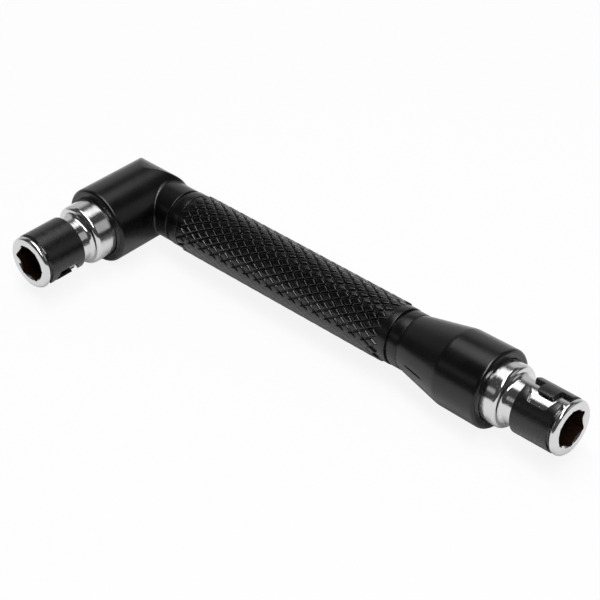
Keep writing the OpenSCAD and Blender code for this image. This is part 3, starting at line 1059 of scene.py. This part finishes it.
class DRIVER_OT_stage(Operator):
    """Studio: white floor, round softbox, strip light, dim room and the camera"""

    bl_idname = "driver.stage"
    bl_label = "Stage"

    def seen(self, nodes):
        """Share of plain white in the floor: most to the camera, less in reflections, else none."""
        s = self.settings
        path = nodes.add("ShaderNodeLightPath").socket.node
        camera, glossy, transmitted = (
            Value(nodes, path.outputs[name])
            for name in ("Is Camera Ray", "Is Glossy Ray", "Is Transmission Ray")
        )
        mirrored = nodes.add("ShaderNodeMath", {"operation": "MAXIMUM"}, {0: glossy, 1: transmitted})
        return s.floor_glow * camera + s.mirrored_glow * mirrored

    def floor(self):
        """Wide white floor that keeps the object's shadow."""
        s = self.settings
        side = 3.0
        corners = [(-side, -side, 0), (side, -side, 0), (side, side, 0), (-side, side, 0)]
        floor = new_piece("floor", np.array(corners) / MM, [(0, 1, 2, 3)])
        nodes = Nodes(bpy.data.materials.new("white_floor"))
        paper = nodes.add("ShaderNodeBsdfDiffuse", None, {"Color": shade(s.floor_colour)})
        glow = nodes.add("ShaderNodeEmission", None, {"Strength": 1.0})
        mixed = nodes.add("ShaderNodeMixShader", None, {0: self.seen(nodes), 1: paper, 2: glow})
        nodes.add("ShaderNodeOutputMaterial", None, {"Surface": mixed})
        floor.data.materials.append(nodes.owner)

    def world(self):
        """Dim room with a pale backdrop behind and a grey card at each side; white to the camera."""
        nodes = Nodes(bpy.data.worlds.new("studio"))
        aim = nodes.add("ShaderNodeTexCoord", output="Generated")
        x, y, z = nodes.parts(aim)
        behind = nodes.step(y - x, 0.35, 0.9)
        low = 1 - nodes.step(z, 0.46, 0.7)
        backdrop = 0.7
        room = self.settings.room + backdrop * behind * low
        edge = 0.02
        cards = (
            ((-0.52, -0.74, 0.43), 0.985, 0.7),
            ((0.72, 0.55, 0.42), 0.95, 0.5),
        )
        for way, nearness, level in cards:
            near = nodes.add("ShaderNodeVectorMath", {"operation": "DOT_PRODUCT"}, {
                0: aim, 1: way}, output="Value")
            room = room + level * nodes.step(near, nearness, nearness + edge)
        sight = nodes.add("ShaderNodeLightPath", output="Is Camera Ray")
        light = nodes.add("ShaderNodeMix", {"data_type": "FLOAT"}, {0: sight, 2: room, 3: 1.0})
        sky = nodes.add("ShaderNodeBackground", None, {"Strength": light})
        nodes.add("ShaderNodeOutputWorld", None, {"Surface": sky})
        bpy.context.scene.world = nodes.owner

    def lamp(self, name, shape, way, width, height, radiance):
        """Area lamp that faces the object from a direction, at arm's length."""
        distance = 0.6
        area = width * height * (math.pi / 4 if shape == "ELLIPSE" else 1)
        light = bpy.data.lights.new(name, "AREA")
        light.shape = shape
        light.size = width
        light.size_y = height
        light.energy = radiance * math.pi * area
        lamp = bpy.data.objects.new(name, light)
        back = Vector(way).normalized()
        lamp.location = back * distance
        lamp.rotation_euler = back.to_track_quat("Z", "Y").to_euler()
        bpy.context.collection.objects.link(lamp)

    def camera(self):
        """Camera at the measured angle, with the measured perspective."""
        s = self.settings
        back = Vector((
            math.sin(s.azimuth) * math.cos(s.elevation),
            -math.cos(s.azimuth) * math.cos(s.elevation),
            math.sin(s.elevation),
        ))
        right = Vector((math.cos(s.azimuth), math.sin(s.azimuth), 0))
        up = back.cross(right)
        turn = Matrix.Rotation(s.roll, 3, back)
        right, up = turn @ right, turn @ up
        aim = Vector(ELBOW) * MM + Vector((s.aim_x, s.aim_y, 0))
        at = aim + back * s.distance
        lens = bpy.data.cameras.new("camera")
        lens.lens = s.lens
        lens.sensor_width = 36
        lens.clip_start = 0.01
        camera = bpy.data.objects.new("camera", lens)
        camera.matrix_world = Matrix((
            (right.x, up.x, back.x, at.x),
            (right.y, up.y, back.y, at.y),
            (right.z, up.z, back.z, at.z),
            (0, 0, 0, 1),
        ))
        bpy.context.collection.objects.link(camera)
        bpy.context.scene.camera = camera

    def execute(self, context):
        self.settings = s = context.scene.driver_stage
        self.floor()
        self.world()
        self.lamp("round_softbox", "ELLIPSE", (-0.185, 0.175, 0.967), 0.51, 0.51, s.softbox_radiance)
        self.lamp("strip_light", "RECTANGLE", (0.22, -0.12, 0.965), 0.095, 0.8, s.strip_radiance)
        self.camera()
        context.scene.view_settings.view_transform = "Standard"
        return {"FINISHED"}


class DRIVER_PT_pieces(Panel):
    """Lists the pieces of the driver"""

    bl_idname = "DRIVER_PT_pieces"
    bl_label = "Offset Screwdriver"
    bl_space_type = "VIEW_3D"
    bl_region_type = "UI"
    bl_category = "Driver"

    def draw(self, context):
        for operator in OPERATORS:
            self.layout.operator(operator.bl_idname)


SETTINGS = {
    "driver_handle": HandleSettings,
    "driver_grip": GripSettings,
    "driver_sockets": SocketSettings,
    "driver_sleeves": SleeveSettings,
    "driver_stage": StageSettings,
}
OPERATORS = (
    DRIVER_OT_handle,
    DRIVER_OT_grip,
    DRIVER_OT_sockets,
    DRIVER_OT_sleeves,
    DRIVER_OT_balls,
    DRIVER_OT_stage,
)


def register():
    for cls in (*SETTINGS.values(), *OPERATORS, DRIVER_PT_pieces):
        bpy.utils.register_class(cls)
    for name, settings in SETTINGS.items():
        setattr(bpy.types.Scene, name, PointerProperty(type=settings))


def unregister():
    for name in SETTINGS:
        delattr(bpy.types.Scene, name)
    for cls in (DRIVER_PT_pieces, *reversed(OPERATORS), *reversed(SETTINGS.values())):
        bpy.utils.unregister_class(cls)


def main():
    register()
    bpy.ops.driver.handle()
    bpy.ops.driver.grip()
    bpy.ops.driver.sockets()
    bpy.ops.driver.sleeves()
    bpy.ops.driver.balls()
    bpy.ops.driver.stage()


if __name__ == "__main__":
    main()
